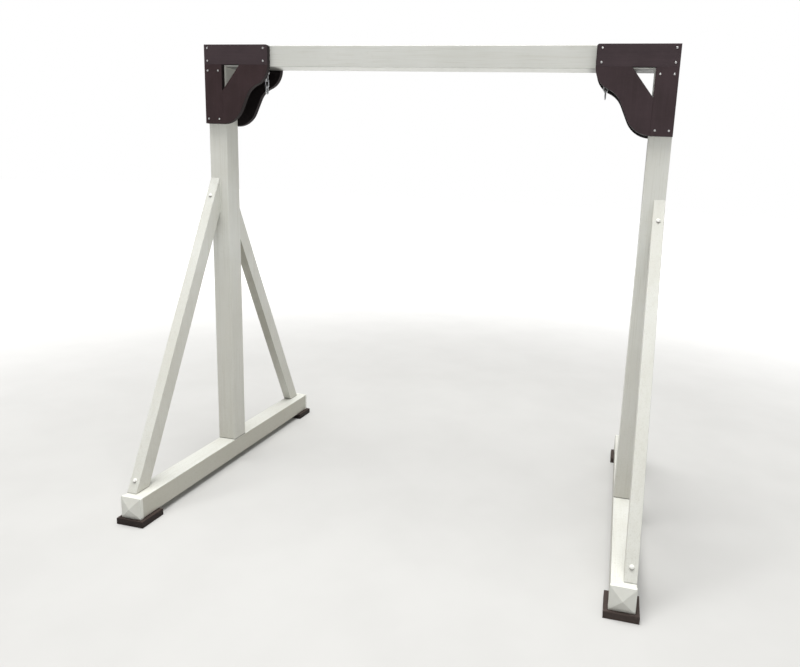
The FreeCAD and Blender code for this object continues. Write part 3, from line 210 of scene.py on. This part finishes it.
def moulded(name, base, tint, seed, gloss=0.33, underface_shade=0.0, shade_onset=-0.12):
    """Injection-moulded plastic with a fine pebble, a little grime and painted shade below."""
    t = Tree(name)
    off = (seed * 1.3, seed * 2.9, seed * 0.7)
    p = t.mapping(location=off)
    cloud = t.noise(p, 14.0, 4.0, 0.55)
    pebble = t.noise(p, 1400.0, 2.0, 0.5)
    specks = t.voronoi(p, 230.0)
    col = t.mix(t.ramp(cloud, 0.3, 0.72), base, tint)
    dark = t.math("MULTIPLY", t.ramp(specks, 0.16, 0.05), t.ramp(t.noise(p, 60.0, 2.0), 0.50, 0.62))
    col = t.mix(t.math("MULTIPLY", dark, 0.25), col, rgb(0.34, 0.30, 0.24))
    if underface_shade:
        # painted shade on whatever leans towards the ground
        face_down_shade = t.ramp(t.normal_xyz()[2], shade_onset - 0.20, shade_onset, underface_shade, 0.0)
        col = t.mix(face_down_shade, col, rgb(0.12, 0.11, 0.09))
    rough = t.ramp(cloud, 0.25, 0.8, gloss - 0.05, gloss + 0.09)
    n = t.bump(pebble, 0.12, 0.00009)
    n = t.bump(t.noise(p, 55.0, 3.0), 0.08, 0.0006, n)
    t.set(Base_Color=col, Roughness=rough, Normal=n)
    t.bsdf.inputs["IOR"].default_value = 1.49
    t.bsdf.inputs["Specular IOR Level"].default_value = 0.5
    return t.mat


def poly(name, axis, base, tint, seed, gap_shade=False, grit=0.07, foot_side_shade=0.0):
    """Dark brown poly board: brushed, slightly waxy, grain along the board."""
    t = Tree(name)
    off = (seed * 2.1, seed * 0.9, seed * 1.9)
    scale = {"x": (0.035, 1, 1), "y": (1, 0.035, 1), "z": (1, 1, 0.035)}[axis]
    along = t.mapping(scale=scale, location=off)
    grain = t.noise(along, 430.0, 4.0, 0.65, 0.4)
    streak = t.noise(along, 75.0, 3.0, 0.55, 0.5)
    pore = t.noise(t.mapping(scale=tuple(min(1.0, v * 5) for v in scale), location=off), 620.0, 3.0, 0.6)
    cloud = t.noise(t.mapping(location=off), 7.0, 4.0, 0.6)
    col = t.mix(t.ramp(cloud, 0.28, 0.74), base, tint)
    col = t.mix(t.ramp(streak, 0.42, 0.74, 0.0, 0.26), col, (tint[0] * 1.20, tint[1] * 1.17, tint[2] * 1.18, 1))
    col = t.mix(t.ramp(grain, 0.50, 0.72, 0.0, 0.28), col, (base[0] * 0.68, base[1] * 0.66, base[2] * 0.66, 1))
    dust = t.math("MULTIPLY", t.ramp(t.noise(t.mapping(location=off), 95.0, 6.0, 0.7), 0.56, 0.78), grit)
    col = t.mix(dust, col, rgb(0.25, 0.215, 0.19))
    if foot_side_shade:
        # painted shade: the upright sides darkened almost to black
        up = t.math("ABSOLUTE", t.normal_xyz()[2])
        col = t.mix(t.ramp(up, 0.25, 0.80, foot_side_shade, 0.0), col, rgb(0.010, 0.007, 0.007))
    if gap_shade:
        # painted shade: the faces that look at each other across the gap darkened, the inner faces almost to black
        depth = t.math("ABSOLUTE", t.xyz()[1])
        facing = t.math("ABSOLUTE", t.normal_xyz()[1])
        col = t.mix(t.ramp(facing, 0.25, 0.80, 0.70, 0.0), col, rgb(0.010, 0.008, 0.008))
        inner_face_shade = t.ramp(depth, 0.0512, 0.0518, 0.90, 0.0)
        col = t.mix(inner_face_shade, col, rgb(0.0035, 0.0030, 0.0032))
    rough = t.ramp(grain, 0.30, 0.72, 0.50, 0.68)
    n = t.bump(streak, 0.10, 0.0004)
    n = t.bump(grain, 0.26, 0.00022, n)
    n = t.bump(pore, 0.16, 0.00010, n)
    t.set(Base_Color=col, Roughness=rough, Normal=n)
    t.bsdf.inputs["IOR"].default_value = 1.50
    t.bsdf.inputs["Specular IOR Level"].default_value = 0.16
    return t.mat


def timber(name, axis, seed):
    """Rough dressed softwood with rings along the length."""
    t = Tree(name)
    off = (seed * 0.37, seed * 0.53, seed * 0.29)
    scale = {"x": (0.06, 1, 1), "y": (1, 0.06, 1), "z": (1, 1, 0.06)}[axis]
    v = t.mapping(scale=scale, location=off)
    warp = t.noise(v, 9.0, 3.0, 0.5)
    rings = t.node("ShaderNodeTexWave", wave_type="RINGS", rings_direction=axis.upper(), wave_profile="SAW")
    t.nt.links.new(v, rings.inputs["Vector"])
    rings.inputs["Scale"].default_value = 26.0
    rings.inputs["Distortion"].default_value = 4.0
    rings.inputs["Detail"].default_value = 3.0
    rings.inputs["Detail Scale"].default_value = 1.6
    fibre = t.noise(v, 420.0, 3.0, 0.6)
    col = t.mix(t.ramp(rings.outputs["Fac"], 0.2, 0.95), rgb(0.56, 0.42, 0.235), rgb(0.36, 0.225, 0.10))
    col = t.mix(t.ramp(warp, 0.3, 0.7, 0.0, 0.4), col, rgb(0.50, 0.40, 0.24))
    col = t.mix(t.ramp(fibre, 0.5, 0.7, 0.0, 0.3), col, rgb(0.25, 0.16, 0.08))
    t.set(Base_Color=col, Roughness=t.ramp(fibre, 0.3, 0.7, 0.62, 0.82), Normal=t.bump(fibre, 0.35, 0.0004))
    return t.mat


def steel(name, base, seed, rough=(0.24, 0.40), spangle=0.0, stain=0.0):
    """Plated or stainless steel, with spangle and a little tarnish."""
    t = Tree(name)
    p = t.mapping(location=(seed * 1.1, seed * 0.6, seed * 2.2))
    cloud = t.noise(p, 120.0, 4.0, 0.6)
    scratch = t.noise(t.mapping(scale=(1, 1, 0.15), rotation=(0.5, 0.3, 0.2)), 2600.0, 2.0, 0.5)
    col = t.mix(t.ramp(cloud, 0.3, 0.72), base, (base[0] * 0.72, base[1] * 0.73, base[2] * 0.75, 1))
    if spangle:
        cells = t.node("ShaderNodeTexVoronoi", feature="F1")
        t.nt.links.new(p, cells.inputs["Vector"])
        cells.inputs["Scale"].default_value = 420.0
        grey = t.node("ShaderNodeRGBToBW")
        t.nt.links.new(cells.outputs["Color"], grey.inputs[0])
        col = t.mix(t.math("MULTIPLY", grey.outputs[0], spangle), col, (base[0] * 1.25, base[1] * 1.25, base[2] * 1.25, 1))
    if stain:
        rust = t.ramp(t.noise(p, 210.0, 5.0, 0.7), 0.58, 0.74, 0.0, stain)
        col = t.mix(rust, col, rgb(0.17, 0.105, 0.065))
        t.set(Metallic=t.math("SUBTRACT", 1.0, t.math("MULTIPLY", rust, 0.6)))
    else:
        t.bsdf.inputs["Metallic"].default_value = 1.0
    t.set(Base_Color=col, Roughness=t.ramp(cloud, 0.25, 0.75, rough[0], rough[1]), Normal=t.bump(scratch, 0.10, 0.00005))
    return t.mat


# colours
ALMOND = srgb(223, 224, 218)
ALMOND2 = srgb(216, 216, 208)
BROWN = srgb(54, 41, 42)
BROWN2 = srgb(61, 47, 49)
BROWN_TOP = srgb(62, 52, 55)
BROWN_TOP2 = srgb(69, 58, 61)
BROWN_FOOT = srgb(66, 57, 54)
BROWN_FOOT2 = srgb(76, 66, 62)

FINISH = {}


def finish_of(node):
    """One material per node, with its grain along that node's length."""
    seed = (sum(ord(c) * (i + 3) for i, c in enumerate(node)) % 97) / 9.7
    if node.endswith("_core"):
        axis = "x" if node.startswith("beam") else ("y" if "base" in node else "z")
        return timber(node + "_wood", axis, seed)
    if node == "beam_sleeve":
        return vinyl("vinyl_beam", "x", srgb(216, 217, 212), srgb(209, 210, 204), seed, 0.0, 0.0, 0.80)
    if node.endswith("base_sleeve"):
        return vinyl(node + "_vinyl", "y", ALMOND, ALMOND2, seed, 0.38)
    if node.endswith("_sleeve"):
        if "brace" in node:
            return vinyl(node + "_vinyl", "z", ALMOND, ALMOND2, seed, 0.0, 0.45, 0.0, 0.70)
        return vinyl(node + "_vinyl", "z", ALMOND, ALMOND2, seed, 0.0, 0.78)
    if node.endswith("end_cap"):
        # painted shade darkens the downward facets of the end caps
        return moulded(node + "_plastic", srgb(230, 231, 224), srgb(224, 224, 216), seed, 0.33, 0.20)
    if node.endswith("end_plug"):
        return moulded(node + "_plastic", ALMOND, ALMOND2, seed, 0.45)
    if node.endswith("top_board"):
        return poly(node + "_poly", "x", BROWN_TOP, BROWN_TOP2, seed, True)
    if node.endswith("post_board") or node.endswith("bracket"):
        # painted light: the right-hand boards use a lighter, lit copy of the board brown
        if node.startswith("right"):
            return poly(node + "_poly", "z", srgb(59, 48, 50), srgb(66, 54, 57), seed, True)
        return poly(node + "_poly", "z", BROWN, BROWN2, seed, True)
    if node.endswith("foot"):
        # painted shade: the left feet use a darker, shaded copy of the foot brown, with shaded sides
        if node.startswith("left"):
            return poly(node + "_poly", "x", srgb(57, 48, 45), srgb(68, 58, 54), seed, False, 0.34, 0.55)
        return poly(node + "_poly", "x", BROWN_FOOT, BROWN_FOOT2, seed, False, 0.34)
    if node.endswith("covers"):
        # painted shade darkens the lower side of each cover
        return moulded(node + "_plastic", srgb(240, 240, 236), srgb(232, 232, 226), seed, 0.20, 0.80, -0.02)
    if node.endswith("screws") and "lag" not in node:
        return steel(node + "_stainless", rgb(0.86, 0.86, 0.84), seed, (0.34, 0.50))
    if "lag" in node or "pins" in node:
        return steel(node + "_zinc", rgb(0.55, 0.56, 0.58), seed, (0.30, 0.48), 0.2, 0.1)
    return steel(node + "_galvanised", rgb(0.68, 0.69, 0.70), seed, (0.30, 0.46), 0.35, 0.18)


for name, obj in NODES.items():
    mat = finish_of(name)
    obj.data.materials.clear()
    obj.data.materials.append(mat)
    for p in obj.data.polygons:
        p.material_index = 0

# ---------------------------------------------------------------------- floor
# a pale sheet that runs out to white well away from the stand
bpy.ops.mesh.primitive_plane_add(size=120.0, location=(0, 0, -0.0005))
floor = bpy.context.object
floor.name = "floor"
t = Tree("floor_pale")
v = t.mapping()
x, y, _ = t.xyz()
away = t.math("SQRT", t.math("ADD", t.math("MULTIPLY", x, x), t.math("MULTIPLY", y, y)))
near = t.mix(t.ramp(t.noise(v, 2.0, 3.0), 0.3, 0.7), rgb(0.56, 0.558, 0.546), rgb(0.54, 0.538, 0.526))
t.set(Base_Color=near, Roughness=t.ramp(t.noise(v, 9.0, 3.0), 0.3, 0.7, 0.80, 0.90))
t.bsdf.inputs["Specular IOR Level"].default_value = 0.10
t.set(Emission_Color=rgb(1.0, 1.0, 1.0), Emission_Strength=t.ramp(away, 1.8, 8.5, 0.0, 0.90))
floor.data.materials.append(t.mat)

# --------------------------------------------------------------------- lights
scene.view_settings.view_transform = "Standard"
scene.view_settings.look = "None"
scene.view_settings.exposure = 0.0
scene.view_settings.gamma = 1.0
world = bpy.data.worlds.new("studio")
scene.world = world
world.use_nodes = True
wt = world.node_tree
wt.nodes.clear()
w_out = wt.nodes.new("ShaderNodeOutputWorld")
w_mix = wt.nodes.new("ShaderNodeMixShader")
w_seen = wt.nodes.new("ShaderNodeBackground")
w_lit = wt.nodes.new("ShaderNodeBackground")
w_path = wt.nodes.new("ShaderNodeLightPath")
w_coord = wt.nodes.new("ShaderNodeTexCoord")
w_sep = wt.nodes.new("ShaderNodeSeparateXYZ")
w_rng = wt.nodes.new("ShaderNodeMapRange")
w_rng.inputs["From Min"].default_value = -0.1
w_rng.inputs["From Max"].default_value = 0.9
w_rng.inputs["To Min"].default_value = 0.02
w_rng.inputs["To Max"].default_value = 0.54
w_seen.inputs["Color"].default_value = (1.0, 1.0, 1.0, 1.0)
w_seen.inputs["Strength"].default_value = 1.0
w_lit.inputs["Color"].default_value = (1.0, 1.0, 1.0, 1.0)
wt.links.new(w_coord.outputs["Generated"], w_sep.inputs[0])
wt.links.new(w_sep.outputs[2], w_rng.inputs["Value"])
wt.links.new(w_rng.outputs["Result"], w_lit.inputs["Strength"])
wt.links.new(w_path.outputs["Is Camera Ray"], w_mix.inputs[0])
wt.links.new(w_lit.outputs[0], w_mix.inputs[1])
wt.links.new(w_seen.outputs[0], w_mix.inputs[2])
wt.links.new(w_mix.outputs[0], w_out.inputs["Surface"])


def area(name, loc, target, size, power, colour=(1, 1, 1)):
    light = bpy.data.lights.new(name, "AREA")
    light.shape = "RECTANGLE"
    light.size, light.size_y = size
    light.energy = power
    light.color = colour
    o = bpy.data.objects.new(name, light)
    scene.collection.objects.link(o)
    o.location = loc
    o.rotation_mode = "QUATERNION"
    o.rotation_quaternion = (Vector(target) - Vector(loc)).to_track_quat("-Z", "Y")
    return o


area("key", (-0.5, -0.9, 10.5), (0, 0, 0.6), (7.0, 6.0), 1420, (1.0, 0.995, 0.985))
area("fill", (6.0, -5.0, 3.0), (0, 0, 1.0), (4.0, 3.0), 20, (0.97, 0.98, 1.0))

# --------------------------------------------------------------------- camera
cam_data = bpy.data.cameras.new("camera")
cam = bpy.data.objects.new("camera", cam_data)
scene.collection.objects.link(cam)
scene.camera = cam
FOCAL, CX, CY = 623.96, 474.58, 307.41         # pixels, in an image of 800 x 667
RX, RY, RZ = 0.1917, 0.2224, 0.0484
EYE = Vector((0.97666, -3.02114, 1.61970))


def turn(axis, a):
    c, s = math.cos(a), math.sin(a)
    return {
        "x": Matrix(((1, 0, 0), (0, c, -s), (0, s, c))),
        "y": Matrix(((c, 0, s), (0, 1, 0), (-s, 0, c))),
        "z": Matrix(((c, -s, 0), (s, c, 0), (0, 0, 1))),
    }[axis]


base = Matrix(((1, 0, 0), (0, 0, -1), (0, 1, 0)))   # image right, down, forwards at rest
R = turn("z", RZ) @ turn("x", RX) @ turn("y", RY) @ base
right, up, back = Vector(R[0]), -Vector(R[1]), -Vector(R[2])
rot = Matrix((right, up, back)).transposed()
cam.matrix_world = Matrix.Translation(EYE) @ rot.to_4x4()
cam_data.sensor_fit = "HORIZONTAL"
cam_data.sensor_width = 36.0
cam_data.lens = FOCAL * 36.0 / 800.0
cam_data.shift_x = (400.0 - CX) / 800.0
cam_data.shift_y = (CY - 333.5) / 800.0
cam_data.clip_start, cam_data.clip_end = 0.05, 100.0

bpy.context.view_layer.update()
